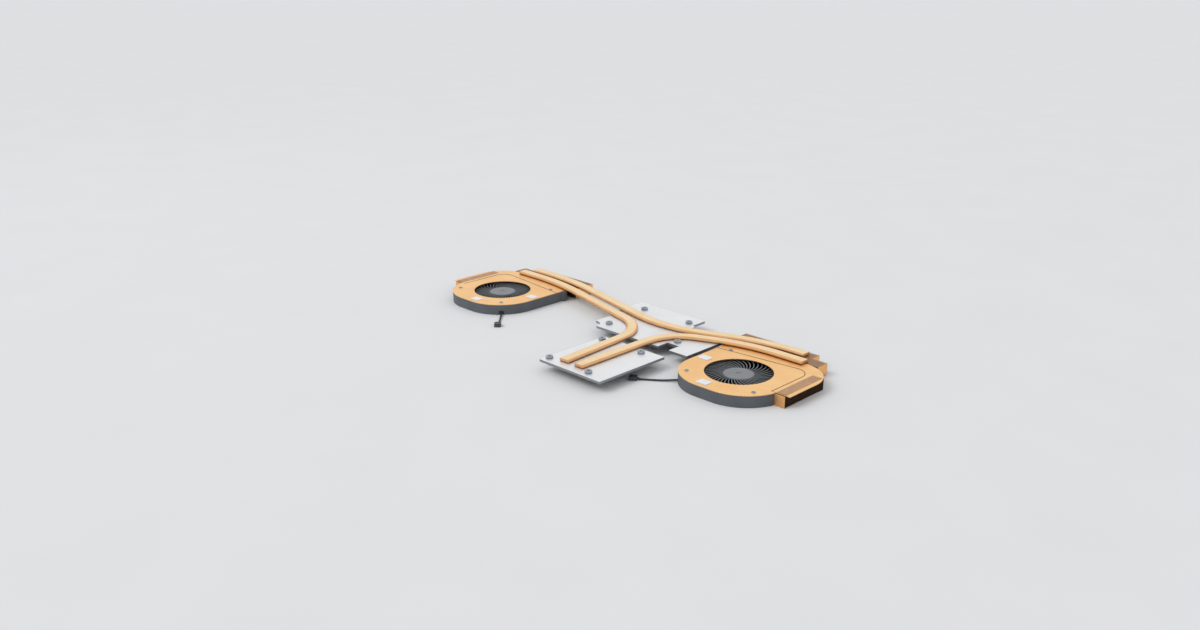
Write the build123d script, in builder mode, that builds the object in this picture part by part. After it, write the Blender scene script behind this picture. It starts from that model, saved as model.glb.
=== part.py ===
from build123d import *
import os
from math import cos, hypot, pi, radians, sin, tan

# Cooler of a flat laptop: two blower fans, three flattened heat pipes, two base plates and copper fins.
# Millimetres. X runs across the laptop, Y to its back, Z up. The origin is under the middle, on the
# surface that the two fans rest on. Each fan is drawn from its own axis: +X there is outwards.

os.makedirs("parts", exist_ok=True)

# Where the fans stand
fan_x = 100.0
fan_y = 3.65
fan_stagger = 4.8
fan_height = 6.8

# Sheet and moulding thicknesses
cover_sheet = 0.4
floor_thick = 0.6
wall_thick = 1.2
seam_gap = 0.3
fit_gap = 0.05

# Fan outline, from the fan's axis: towards the middle, outwards, to the front and to the back
reach_in = 30.7
reach_out = 31.3
reach_front = 29.9
corner_radius = 25.7
duct_back = 34.4

# Outlet plate, the L-shaped sheet that roofs both outlets
plate_reach_out = 39.3
plate_front = 9.6
plate_corner_radius = 20.0
plate_overhang = 1.0
seam_back_in = 19.9
seam_back_out = 26.2
seam_side = 28.1
seam_radius = 8.0

# Inlets and impeller
inlet_radius = 18.5
floor_inlet_radius = 16.5
hub_seat_radius = 9.5
spoke_width = 5.0
spoke_count = 3
hub_radius = 8.3
hub_top = 5.8
hub_bottom = 1.7
hub_skin = 0.6
hub_dimple_radius = 1.6
hub_dimple = 0.2
blade_gap = 0.82
blade_count = 41
blade_thick = 0.4
blade_bottom = 2.3
blade_sweep = 39.4
blade_bow = 3.3

# Motor
shaft_radius = 0.75
shaft_end_gap = 0.15
bush_radius = 2.0
bush_clearance = 0.3
running_gap = 0.03
boss_radius = 1.9
boss_height = 0.7
magnet_thick = 1.1
magnet_overlap = 0.4
air_gap = 0.3
core_bottom = 2.3
core_thick = 1.2
core_ring = 1.2
pole_count = 6
pole_width = 1.0
pole_shoe = 0.8
shoe_gap = 1.2
coil_thick = 0.6
coil_gap = 0.2
board_radius = 9.2
board_thick = 0.5
board_tongue = 14.0
board_tongue_width = 4.2

# Fins
fin_pitch = 1.0
fin_thick = 0.2
fin_flange = 0.2
side_fin_in = 30.2
side_fin_out = 37.0
side_fin_front = 10.1
side_fin_back = 24.4
side_fin_bottom = 0.1
window_border = 0.8
window_end = 1.4
window_gap = 0.1
rear_fin_bottom = 0.7
inner_fin_in = 34.2
inner_fin_out = 26.6
inner_fin_depth = 9.0
outer_fin_in = 33.8
outer_fin_out = 16.9
outer_fin_depth = 6.8
row_gap = 0.15

# Lug behind the inner wall, and the screws and pads on the cover
lug_radius = 3.2
lug_in = 29.0
lug_back = 26.9
wall_heel_in = 25.5
cover_screw_places = [(-20.6, -18.4), (22.7, -17.15), (-22.8, 22.2)]
cover_screw_head_radius = 1.25
cover_screw_head = 0.35
cover_screw_radius = 0.6
cover_screw_length = 3.2
screw_boss_radius = 1.6
side_pad_edge = 5.0
side_pad_back = 3.1
front_pad_edge = 5.4
front_pad_in = 3.7
pad_length = 7.0
pad_width = 5.5
pad_thick = 0.25

# Heat pipes: round pipe pressed flat, with the places where each one turns
pipe_round = 5.0
pipe_height = 1.9
long_pipe_route = [(-114.5, 51.85), (-78.65, 51.85), (26.3, 25.4), (84.7, 47.85), (112.3, 47.85)]
long_pipe_radii = [170, 82, 115]
left_pipe_route = [(-119.3, 42.85), (-81.9, 42.85), (19.7, 16.45), (24.75, -52.75)]
left_pipe_radii = [160, 30]
right_pipe_route = [(118.2, 37.85), (80.2, 37.85), (35.7, 19.15), (35.9, -52.75)]
right_pipe_radii = [100, 27]

# Base plates and contact blocks
base_thick = 1.5
block_thick = 1.6
front_plate_left = 11.6
front_plate_right = 57.9
front_plate_front = -58.85
front_plate_back = -8.35
front_screw_left = 14.2
front_screw_front = -53.85
front_screw_step_x = 30.5
front_screw_step_y = 41.0
front_block_size = 25.0
rear_block_middle = (20.0, 24.0)
rear_block_length = 24.0
rear_block_width = 18.0
rear_plate_corners = [
    (-16.2, 53.65),
    (35.4, 53.65),
    (35.4, 42.2),
    (37.8, 41.6),
    (37.8, 34.0),
    (65.9, 32.6),
    (65.9, 1.15),
    (52.7, 1.15),
    (52.7, 10.05),
    (44.05, 10.05),
    (44.05, 1.55),
    (-5.0, 1.55),
    (-5.2, 4.5),
    (-8.3, 7.55),
    (-12.0, 8.15),
    (-12.0, 31.0),
    (-16.2, 32.2),
]
rear_screw_places = [(-2.3, 9.65), (-5.4, 44.25), (30.9, 44.15), (47.7, 14.45)]

# Captive screws
screw_thread_radius = 0.8
screw_thread_length = 2.1
screw_shoulder_radius = 1.3
screw_groove = 0.25
screw_head_radius = 2.1
screw_head = 0.9
screw_slot_width = 0.5
screw_slot_length = 2.4
screw_slot_depth = 0.45
washer_height = 0.35
washer_thick = 0.2
washer_radius = 2.0
clip_thick = 0.4
clip_radius = 2.2

# Leads and plugs: the routes run from the end of the fan's board to the plug
lead_angle = 221.6
lead_radius = 0.55
lead_hole_gap = 0.15
lead_inside_z = 1.17
lead_floor_z = 0.57
lead_routes = {
    "right": [
        (89.72, -5.95, lead_inside_z),
        (82.80, -11.62, lead_inside_z),
        (75.02, -18.52, lead_inside_z),
        (70.20, -22.55, lead_floor_z),
        (64.45, -26.93, lead_floor_z),
        (58.60, -31.00, lead_floor_z),
    ],
    "left": [
        (-89.72, -1.15, lead_inside_z),
        (-82.80, -6.82, lead_inside_z),
        (-75.02, -13.72, lead_inside_z),
        (-70.90, -17.75, lead_floor_z),
        (-66.50, -22.30, lead_floor_z),
        (-62.30, -26.90, lead_floor_z),
    ],
}
grommet_width = 3.4
grommet_height = 2.0
grommet_flange = 0.6
plug_length = 4.2
plug_width = 4.0
plug_height = 2.2
plug_contacts = 3
contact_pitch = 1.2
contact_width = 0.6
contact_depth = 2.0

# Heights and places that follow from the sizes above
cover_bottom = fan_height - cover_sheet
plate_bottom = fan_height - base_thick
cup_inside = hub_radius - hub_skin
cup_roof = hub_top - hub_skin
magnet_inside = cup_inside - magnet_thick
core_radius = magnet_inside - air_gap
impeller_radius = hypot(*cover_screw_places[0]) - screw_boss_radius - blade_gap
side_pad_place = (side_pad_edge - reach_in, side_pad_back)
front_pad_place = (-front_pad_in, front_pad_edge - reach_front)
rear_fins_front = duct_back + fit_gap
outer_fins_front = rear_fins_front + inner_fin_depth + row_gap
pipe_width = pi * (pipe_round - pipe_height) / 2 + pipe_height
fan_plane = Plane(origin=(fan_x, fan_y, 0))
lead_way = Plane(fan_plane.location * Location((0, 0, 0), (0, 0, lead_angle)))
front_corner = (corner_radius - reach_in, corner_radius - reach_front)
back_corner = (plate_reach_out - plate_corner_radius, duct_back - plate_corner_radius)
back_wall_radius = plate_corner_radius - plate_overhang


def save(piece, label):
    """Name a finished piece and write it."""
    piece.part.label = label
    export_step(piece.part, f"parts/{label}.step")


def save_pair(piece, label):
    """Write a piece of the right fan, and its mirror image that belongs to the left fan."""
    with BuildPart() as twin:
        add(mirror(piece.part, about=Plane.YZ, mode=Mode.PRIVATE).moved(Location((0, fan_stagger, 0))))
    save(piece, f"right_{label}")
    save(twin, f"left_{label}")


def cover_outline(inset=0):
    """Plan of the cover with its two large front corners, as if it had no seam."""
    with BuildSketch() as outline:
        with BuildLine():
            Polyline(
                (inset - reach_in, duct_back),
                (inset - reach_in, inset - reach_front),
                (reach_out - inset, inset - reach_front),
                (reach_out - inset, duct_back),
                close=True,
            )
        make_face()
        fillet(outline.vertices().group_by(Axis.Y)[0], radius=corner_radius - inset)
    return outline.sketch


def tray_outline(inset=0):
    """Plan of the fan housing: its rounded front, and the duct that wraps round the side fins."""
    side = side_fin_in - fit_gap - inset
    turn = side_fin_back + fit_gap + inset
    slant = inset * hypot(lug_in - wall_heel_in, duct_back - lug_back) / (duct_back - lug_back)
    arc_radius = back_wall_radius - inset
    arc_start = (back_corner[0] + (arc_radius**2 - (turn - back_corner[1]) ** 2) ** 0.5, turn)
    arc_side = inner_fin_out - inset
    arc_end = (arc_side, back_corner[1] + (arc_radius**2 - (arc_side - back_corner[0]) ** 2) ** 0.5)
    front_shape = cover_outline(inset)
    with BuildSketch() as outline:
        add(front_shape)
        with Locations((0, turn)):
            Rectangle(4 * reach_out, duct_back, align=(Align.CENTER, Align.MIN), mode=Mode.SUBTRACT)
        with Locations((side, -side_fin_front - fit_gap - inset)):
            Rectangle(reach_out, 2 * duct_back, align=(Align.MIN, Align.MIN), mode=Mode.SUBTRACT)
        with BuildLine():
            Polyline(
                arc_end,
                (arc_side, duct_back),
                (slant - wall_heel_in, duct_back),
                (slant - lug_in, lug_back),
                (inset - reach_in, lug_back),
                (inset - reach_in, turn),
                arc_start,
            )
            RadiusArc(arc_start, arc_end, -arc_radius)
        make_face()
    return outline.sketch


def outlet_outline():
    """Plan of the sheet over both outlets, as if it had no seam."""
    with BuildSketch() as outline:
        with BuildLine():
            Polyline(
                (-reach_in, -plate_front),
                (plate_reach_out, -plate_front),
                (plate_reach_out, duct_back),
                (-reach_in, duct_back),
                close=True,
            )
        make_face()
        fillet(outline.vertices().group_by(Axis.X)[-1].sort_by(Axis.Y)[-1], radius=plate_corner_radius)
    return outline.sketch


def seam_outline(gap):
    """The area in front of the seam, which the cover fills and the outlet plate leaves free."""
    rise = (seam_back_out - seam_back_in) / (seam_side + reach_in)
    far_side = reach_in + plate_reach_out
    with BuildSketch() as outline:
        with BuildLine():
            Polyline(
                (-far_side, seam_back_in - rise * plate_reach_out + gap),
                (seam_side + gap, seam_back_out + gap),
                (seam_side + gap, gap - plate_front),
                (far_side, gap - plate_front),
                (far_side, -2 * reach_front),
                (-far_side, -2 * reach_front),
                close=True,
            )
        make_face()
        fillet(outline.vertices().sort_by(Axis.Y)[-1], radius=seam_radius)
    return outline.sketch


def fin_stack(centre, across, flow, width, depth, height):
    """Folded fins side by side: a block with one channel between each two fins, open at both faces."""
    count = int((width - fin_thick) / fin_pitch)
    step = (width - fin_thick) / count
    with BuildPart() as stack:
        with BuildSketch(Plane(origin=centre, x_dir=across, z_dir=flow)):
            Rectangle(width, height)
            with GridLocations(step, 0, count, 1):
                Rectangle(step - fin_thick, height - 2 * fin_flange, mode=Mode.SUBTRACT)
        extrude(amount=depth)
    return stack


def heat_pipe(route, radii):
    """A pressed pipe that lies on the plates and fins and turns at each corner of its route."""
    middle = fan_height + pipe_height / 2
    with BuildPart() as pipe:
        with BuildLine() as path:
            FilletPolyline(*[(x, y, middle) for x, y in route], radius=radii)
        ahead = path.line % 0
        with BuildSketch(Plane(origin=path.line @ 0, x_dir=(ahead.Y, -ahead.X, 0), z_dir=ahead)):
            SlotOverall(pipe_width, pipe_height)
        sweep(path=path.line)
    return pipe


def captive_screws(places):
    """Shouldered screws that stay in a plate, each with a cone washer above it and a clip below it."""
    head_bottom = fan_height + washer_height
    clip_top = plate_bottom - fit_gap
    shoulder_end = clip_top - 2 * clip_thick
    with BuildPart() as screws:
        with BuildSketch(Plane.XY.offset(head_bottom)):
            with Locations(places):
                Circle(screw_head_radius)
        extrude(amount=screw_head)
        with BuildSketch(Plane.XY.offset(shoulder_end)):
            with Locations(places):
                Circle(screw_shoulder_radius)
        extrude(amount=head_bottom - shoulder_end)
        with BuildSketch(Plane.XY.offset(shoulder_end - screw_thread_length)):
            with Locations(places):
                Circle(screw_thread_radius)
        extrude(amount=screw_thread_length)
        with BuildSketch(Plane.XY.offset(clip_top - clip_thick - fit_gap)):
            with Locations(places):
                Circle(screw_shoulder_radius + screw_groove)
                Circle(screw_shoulder_radius - screw_groove, mode=Mode.SUBTRACT)
        extrude(amount=clip_thick + 2 * fit_gap, mode=Mode.SUBTRACT)
        with BuildSketch(Plane.XY.offset(head_bottom + screw_head)):
            with Locations(places):
                Rectangle(screw_slot_length, screw_slot_width)
                Rectangle(screw_slot_width, screw_slot_length)
        extrude(amount=-screw_slot_depth, mode=Mode.SUBTRACT)
    with BuildPart() as washers:
        for x, y in places:
            with BuildSketch(Plane(origin=(x, y, fan_height), x_dir=(1, 0, 0), z_dir=(0, -1, 0))):
                with BuildLine():
                    Polyline(
                        (washer_radius, 0),
                        (washer_radius, washer_thick),
                        (screw_shoulder_radius + fit_gap, washer_height),
                        (screw_shoulder_radius + fit_gap, washer_height - washer_thick),
                        close=True,
                    )
                make_face()
            revolve(axis=Axis((x, y, 0), (0, 0, 1)))
    with BuildPart() as clips:
        with BuildSketch(Plane.XY.offset(clip_top - clip_thick)):
            with Locations(places):
                Circle(clip_radius)
                Circle(screw_shoulder_radius - screw_groove + fit_gap, mode=Mode.SUBTRACT)
            with Locations([(x + clip_radius, y) for x, y in places]):
                Rectangle(2 * clip_radius, screw_shoulder_radius, mode=Mode.SUBTRACT)
        extrude(amount=clip_thick)
    return screws, washers, clips


def base_plate(outline, screw_places):
    """A stamped plate with one clearance hole for each captive screw."""
    with BuildPart() as plate:
        with BuildSketch(Plane.XY.offset(plate_bottom)):
            add(outline)
            with Locations(screw_places):
                Circle(screw_shoulder_radius + fit_gap, mode=Mode.SUBTRACT)
        extrude(amount=base_thick)
    return plate


def contact_block(middle, length, width):
    """A copper block under a base plate, with its lower edges broken."""
    with BuildPart() as block:
        with BuildSketch(Plane.XY.offset(plate_bottom)):
            with Locations(middle):
                Rectangle(length, width)
        extrude(amount=-block_thick)
        chamfer(block.faces().sort_by(Axis.Z)[0].edges(), length=block_thick / 4)
    return block


# Base plates, with the contact blocks that lie on the chips
front_middle = ((front_plate_left + front_plate_right) / 2, (front_plate_front + front_plate_back) / 2)
front_screw_middle = (front_screw_left + front_screw_step_x / 2, front_screw_front + front_screw_step_y / 2)
front_screw_places = [
    (front_screw_left + column * front_screw_step_x, front_screw_front + row * front_screw_step_y)
    for column in range(2)
    for row in range(2)
]
with BuildSketch() as front_outline:
    with Locations(front_middle):
        Rectangle(front_plate_right - front_plate_left, front_plate_back - front_plate_front)
with BuildSketch() as rear_outline:
    with BuildLine():
        Polyline(*rear_plate_corners, close=True)
    make_face()
save(base_plate(front_outline.sketch, front_screw_places), "front_base_plate")
save(base_plate(rear_outline.sketch, rear_screw_places), "rear_base_plate")
save(contact_block(front_screw_middle, front_block_size, front_block_size), "front_contact_block")
save(contact_block(rear_block_middle, rear_block_length, rear_block_width), "rear_contact_block")

# Captive screws, their washers and their clips, on both plates
for place_name, screw_places in (("front", front_screw_places), ("rear", rear_screw_places)):
    screw_set, washer_set, clip_set = captive_screws(screw_places)
    save(screw_set, f"{place_name}_captive_screws")
    save(washer_set, f"{place_name}_spring_washers")
    save(clip_set, f"{place_name}_retaining_clips")

# Heat pipes, soldered on the plates and on the fins
save(heat_pipe(long_pipe_route, long_pipe_radii), "long_heat_pipe")
save(heat_pipe(left_pipe_route, left_pipe_radii), "left_heat_pipe")
save(heat_pipe(right_pipe_route, right_pipe_radii), "right_heat_pipe")

# Fan housing: one moulded tray with its floor, side wall, screw bosses and the spokes under the hub
tray = tray_outline()
tray_inside = tray_outline(wall_thick)
boss_reach = hypot(*cover_screw_places[0])
wall_reach = hypot(*front_corner) + corner_radius - wall_thick / 2
notch_start = boss_reach - 2 * screw_boss_radius
notch_end = wall_reach + 2 * wall_thick
side_middle = (side_fin_back - side_fin_front) / 2
with BuildPart() as housing:
    with BuildSketch(fan_plane):
        add(tray)
        with Locations((-lug_in, lug_back)):
            Circle(lug_radius)
        Circle(floor_inlet_radius, mode=Mode.SUBTRACT)
        Circle(hub_seat_radius)
        with PolarLocations((hub_seat_radius + floor_inlet_radius) / 2, spoke_count, start_angle=lead_angle):
            Rectangle(floor_inlet_radius - hub_seat_radius + wall_thick, spoke_width)
    extrude(amount=floor_thick)
    with BuildSketch(fan_plane.offset(floor_thick)):
        add(tray)
        add(tray_inside, mode=Mode.SUBTRACT)
        with Locations((side_fin_in, side_middle)):
            Rectangle(3 * wall_thick, side_fin_back + side_fin_front + 2 * fit_gap, mode=Mode.SUBTRACT)
        with Locations((-lug_in, lug_back)):
            Circle(lug_radius)
        with Locations(cover_screw_places):
            Circle(screw_boss_radius)
        with Locations(Location((0, 0, 0), (0, 0, lead_angle))):
            with Locations(((boss_reach + wall_reach) / 2, 0)):
                Rectangle(wall_reach - boss_reach, 2 * screw_boss_radius)
    extrude(amount=cover_bottom - floor_thick)
    with BuildSketch(fan_plane.offset(cover_bottom)):
        with Locations(cover_screw_places):
            Circle(cover_screw_radius + fit_gap)
    extrude(amount=-cover_screw_length - fit_gap, mode=Mode.SUBTRACT)
    with BuildSketch(lead_way.offset(floor_thick)):
        with Locations(((notch_start + notch_end) / 2, 0)):
            Rectangle(notch_end - notch_start, grommet_width)
    extrude(amount=grommet_height, mode=Mode.SUBTRACT)
save_pair(housing, "fan_housing")

# Grommet: rubber saddle in the wall's notch, with a flange inside, over the lead
lead_middle = Plane(origin=lead_way.origin + (0, 0, lead_inside_z), x_dir=(0, 0, 1), z_dir=lead_way.x_dir)
with BuildPart() as grommet:
    for grommet_out, grommet_in, half_more in (
        (corner_radius, corner_radius - wall_thick, -fit_gap),
        (corner_radius - wall_thick - fit_gap, corner_radius - wall_thick - grommet_flange, grommet_flange),
    ):
        with BuildSketch(fan_plane.offset(floor_thick)):
            with Locations(front_corner):
                Circle(grommet_out)
                Circle(grommet_in - fit_gap, mode=Mode.SUBTRACT)
            with Locations(Location((0, 0, 0), (0, 0, lead_angle))):
                with Locations(((notch_start + notch_end) / 2, 0)):
                    Rectangle(notch_end - notch_start, grommet_width + 2 * half_more, mode=Mode.INTERSECT)
        extrude(amount=grommet_height - fit_gap)
    with BuildSketch(lead_middle):
        Circle(lead_radius + lead_hole_gap)
    extrude(amount=2 * corner_radius, mode=Mode.SUBTRACT)
save_pair(grommet, "lead_grommet")

# Fan cover: thin copper sheet that closes the housing, with the round inlet over the impeller
with BuildPart() as cover:
    with BuildSketch(fan_plane.offset(cover_bottom)):
        add(cover_outline())
        add(seam_outline(0), mode=Mode.INTERSECT)
        Circle(inlet_radius, mode=Mode.SUBTRACT)
        with Locations(cover_screw_places):
            Circle(cover_screw_radius + fit_gap, mode=Mode.SUBTRACT)
    extrude(amount=cover_sheet)
save_pair(cover, "fan_cover")

# Side fins: their top flanges come through the outlet plate's window and lie level with it
tab_middle = ((side_fin_in + window_border + side_fin_out) / 2, side_middle)
tab_across = side_fin_out - side_fin_in - window_border
tab_along = side_fin_back + side_fin_front - 2 * window_end
side_stack = fin_stack(
    (fan_x + side_fin_in, fan_y + side_middle, (side_fin_bottom + cover_bottom) / 2),
    (0, 1, 0),
    (1, 0, 0),
    side_fin_back + side_fin_front,
    side_fin_out - side_fin_in,
    cover_bottom - side_fin_bottom,
)
with BuildPart() as side_fins:
    add(side_stack.part)
    with BuildSketch(fan_plane.offset(cover_bottom)):
        with Locations(tab_middle):
            Rectangle(tab_across, tab_along)
    extrude(amount=cover_sheet)
save_pair(side_fins, "side_fins")

# Outlet plate: L-shaped sheet level with the cover, which roofs the ducts to both fin stacks
with BuildPart() as outlet_plate:
    with BuildSketch(fan_plane.offset(cover_bottom)):
        add(outlet_outline())
        add(seam_outline(seam_gap), mode=Mode.SUBTRACT)
        with Locations(tab_middle):
            Rectangle(tab_across + 2 * window_gap, tab_along + 2 * window_gap, mode=Mode.SUBTRACT)
        with Locations(cover_screw_places):
            Circle(cover_screw_radius + fit_gap, mode=Mode.SUBTRACT)
    extrude(amount=cover_sheet)
save_pair(outlet_plate, "outlet_plate")

# Rear fins: two stacks one behind the other, soldered under the heat pipes
for row_label, row_in, row_out, row_front, row_depth in (
    ("rear_inner_fins", inner_fin_in, inner_fin_out, rear_fins_front, inner_fin_depth),
    ("rear_outer_fins", outer_fin_in, outer_fin_out, outer_fins_front, outer_fin_depth),
):
    rear_fins = fin_stack(
        (fan_x + (row_out - row_in) / 2, fan_y + row_front, (rear_fin_bottom + fan_height) / 2),
        (-1, 0, 0),
        (0, 1, 0),
        row_in + row_out,
        row_depth,
        fan_height - rear_fin_bottom,
    )
    save_pair(rear_fins, row_label)

# Impeller: moulded hub cup with thin blades all round, which lean back more and more towards their tips
blade_tip = (impeller_radius * cos(radians(blade_sweep)), impeller_radius * sin(radians(blade_sweep)))
with BuildSketch() as blade:
    with BuildLine():
        SagittaArc((cup_inside + hub_skin / 2, 0), blade_tip, -blade_bow)
        offset(amount=blade_thick, side=Side.LEFT)
    make_face()
with BuildPart() as impeller:
    with BuildSketch(fan_plane.offset(hub_bottom)):
        Circle(hub_radius)
    extrude(amount=hub_top - hub_bottom)
    chamfer(impeller.edges().filter_by(GeomType.CIRCLE).sort_by(Axis.Z)[-1], length=hub_skin / 2)
    with BuildSketch(fan_plane.offset(hub_bottom)):
        Circle(cup_inside)
    extrude(amount=cup_roof - hub_bottom, mode=Mode.SUBTRACT)
    with BuildSketch(fan_plane.offset(cup_roof)):
        Circle(boss_radius)
    extrude(amount=-boss_height)
    with BuildSketch(fan_plane.offset(cup_roof - boss_height)):
        Circle(shaft_radius)
    extrude(amount=boss_height + hub_skin / 2, mode=Mode.SUBTRACT)
    with BuildSketch(fan_plane.offset(hub_top)):
        Circle(hub_dimple_radius)
    extrude(amount=-hub_dimple, mode=Mode.SUBTRACT)
    with BuildSketch(fan_plane.offset(blade_bottom)):
        with PolarLocations(0, blade_count):
            add(blade.sketch)
    extrude(amount=hub_top - hub_skin / 2 - blade_bottom)
save_pair(impeller, "impeller")

# Magnet ring, pressed into the hub cup
with BuildPart() as rotor_magnet:
    with BuildSketch(fan_plane.offset(core_bottom - magnet_overlap)):
        Circle(cup_inside)
        Circle(magnet_inside, mode=Mode.SUBTRACT)
    extrude(amount=core_thick + 2 * magnet_overlap)
save_pair(rotor_magnet, "rotor_magnet")

# Shaft, pressed into the boss under the hub's roof
with BuildPart() as shaft:
    with BuildSketch(fan_plane.offset(floor_thick + shaft_end_gap)):
        Circle(shaft_radius)
    extrude(amount=cup_roof + hub_skin / 2 - floor_thick - shaft_end_gap)
save_pair(shaft, "shaft")

# Bearing bush, a sintered sleeve that stands on the housing's seat
with BuildPart() as bush:
    with BuildSketch(fan_plane.offset(floor_thick)):
        Circle(bush_radius)
        Circle(shaft_radius + running_gap, mode=Mode.SUBTRACT)
    extrude(amount=cup_roof - boss_height - bush_clearance - floor_thick)
save_pair(bush, "bearing_bush")

# Stator core: stacked steel on the bush, with one shoe at the end of each pole
with BuildPart() as core:
    with BuildSketch(fan_plane.offset(core_bottom)):
        Circle(core_radius)
        Circle(core_radius - pole_shoe, mode=Mode.SUBTRACT)
        with PolarLocations(core_radius, pole_count, start_angle=180 / pole_count):
            Rectangle(4 * pole_shoe, shoe_gap, mode=Mode.SUBTRACT)
        Circle(bush_radius + core_ring)
        with PolarLocations(core_radius / 2 - pole_shoe / 4, pole_count):
            Rectangle(core_radius - pole_shoe / 2, pole_width)
        Circle(bush_radius, mode=Mode.SUBTRACT)
    extrude(amount=core_thick)
save_pair(core, "stator_core")

# Stator coils: copper wire wound round each pole
coil_start = bush_radius + core_ring + coil_gap
coil_end = core_radius - pole_shoe - coil_gap
with BuildPart() as coils:
    with BuildSketch(fan_plane.offset(core_bottom - coil_thick)):
        with PolarLocations((coil_start + coil_end) / 2, pole_count):
            Rectangle(coil_end - coil_start, pole_width + 2 * coil_thick)
    extrude(amount=core_thick + 2 * coil_thick)
    with BuildSketch(fan_plane.offset(core_bottom)):
        with PolarLocations((coil_start + coil_end) / 2, pole_count):
            Rectangle(coil_end - coil_start + 2 * coil_gap, pole_width)
    extrude(amount=core_thick, mode=Mode.SUBTRACT)
save_pair(coils, "stator_coils")

# Fan board round the bush, with a tongue along one spoke, where the lead is soldered on
with BuildPart() as board:
    with BuildSketch(lead_way.offset(floor_thick)):
        Circle(board_radius)
        with Locations((board_tongue / 2, 0)):
            Rectangle(board_tongue, board_tongue_width)
        Circle(bush_radius + fit_gap, mode=Mode.SUBTRACT)
    extrude(amount=board_thick)
save_pair(board, "fan_board")

# Cover screws, two through the cover and one through the outlet plate, into the housing's bosses
with BuildPart() as cover_screws:
    with BuildSketch(fan_plane.offset(fan_height)):
        with Locations(cover_screw_places):
            Circle(cover_screw_head_radius)
    extrude(amount=cover_screw_head)
    with BuildSketch(fan_plane.offset(cover_bottom - cover_screw_length)):
        with Locations(cover_screw_places):
            Circle(cover_screw_radius)
    extrude(amount=cover_screw_length + cover_sheet)
save_pair(cover_screws, "cover_screws")

# Foam pads, stuck on the cover
for pad_label, pad_place in (("side_pad", side_pad_place), ("front_pad", front_pad_place)):
    with BuildPart() as pad:
        with BuildSketch(fan_plane.offset(fan_height)):
            with Locations(pad_place):
                Rectangle(pad_length, pad_width)
        extrude(amount=pad_thick)
    save_pair(pad, pad_label)

# Leads, from the boards through the walls and along the ground to their plugs
for side, route in lead_routes.items():
    points = [Vector(*place) for place in route]
    runs = [after - before for before, after in zip(points, points[1:])]
    turns = [before.get_angle(after) for before, after in zip(runs, runs[1:])]
    radii = [
        0.45 * min(before.length, after.length) / tan(radians(turn / 2))
        for before, after, turn in zip(runs, runs[1:], turns)
    ]
    with BuildPart() as lead:
        with BuildLine() as path:
            FilletPolyline(*points, radius=radii)
        with BuildSketch(Plane(origin=path.line @ 0, z_dir=path.line % 0)):
            Circle(lead_radius)
        sweep(path=path.line)
    save(lead, f"{side}_lead")
    round_area = pi * lead_radius**2
    print(f"{side}_lead radii", [round(radius, 1) for radius in radii])
    print(f"{side}_lead length {path.wire().length:.2f} volume {lead.part.volume / round_area:.2f} per area")
    ahead = Vector(runs[-1].X, runs[-1].Y, 0)
    plug_plane = Plane(origin=(points[-1].X, points[-1].Y, 0), x_dir=ahead, z_dir=(0, 0, 1))
    with BuildPart() as plug:
        with BuildSketch(plug_plane):
            with Locations((plug_length / 2, 0)):
                Rectangle(plug_length, plug_width)
        extrude(amount=plug_height)
        chamfer(plug.edges().filter_by(Axis.Z), length=contact_width / 2)
        plug_mouth = plug_plane.origin + ahead.normalized() * plug_length
        with BuildSketch(Plane(origin=plug_mouth, x_dir=(ahead.Y, -ahead.X, 0), z_dir=-ahead)):
            with Locations((0, plug_height / 2)):
                with GridLocations(contact_pitch, 0, plug_contacts, 1):
                    Rectangle(contact_width, contact_width)
        extrude(amount=contact_depth, mode=Mode.SUBTRACT)
    save(plug, f"{side}_plug")
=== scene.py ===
from math import cos, pi, radians, sin, tan

import bmesh
import bpy
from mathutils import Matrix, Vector


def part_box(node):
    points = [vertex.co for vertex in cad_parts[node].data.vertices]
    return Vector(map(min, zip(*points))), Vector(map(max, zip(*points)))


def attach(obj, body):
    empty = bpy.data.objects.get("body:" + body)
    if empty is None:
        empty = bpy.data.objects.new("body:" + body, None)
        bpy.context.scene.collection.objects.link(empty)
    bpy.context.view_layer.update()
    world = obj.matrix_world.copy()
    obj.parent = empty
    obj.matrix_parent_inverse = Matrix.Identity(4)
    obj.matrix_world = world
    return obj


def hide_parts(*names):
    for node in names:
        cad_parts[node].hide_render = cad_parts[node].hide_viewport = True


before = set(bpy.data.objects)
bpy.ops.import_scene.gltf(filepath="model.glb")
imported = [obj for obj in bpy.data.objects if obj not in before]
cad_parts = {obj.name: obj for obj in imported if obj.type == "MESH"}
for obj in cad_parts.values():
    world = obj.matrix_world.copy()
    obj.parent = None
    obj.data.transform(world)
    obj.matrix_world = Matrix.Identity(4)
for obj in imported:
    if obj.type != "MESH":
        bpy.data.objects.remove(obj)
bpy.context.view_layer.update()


# Camera
# It stands in front of the cooler and to its right, 19 degrees above it, as in the photograph.
# Its place and lens were worked out from the corners of the plates, fans and fins.
mm = 0.001
camera_place = (413.84 * mm, -414.33 * mm, 215.44 * mm)
camera_azimuth = 45.0
camera_elevation = 18.884
camera_sensor = 36.0
camera_lens = 31.512
camera_nearest = 10 * mm
camera_farthest = 60.0
camera_data = bpy.data.cameras.new("camera")
camera_data.sensor_width = camera_sensor
camera_data.lens = camera_lens
camera_data.clip_start = camera_nearest
camera_data.clip_end = camera_farthest
camera = bpy.data.objects.new("camera", camera_data)
camera.location = camera_place
camera.rotation_euler = (radians(90 - camera_elevation), 0, radians(camera_azimuth))
bpy.context.scene.collection.objects.link(camera)
bpy.context.scene.camera = camera
bpy.context.scene.view_settings.view_transform = "Standard"


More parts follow.
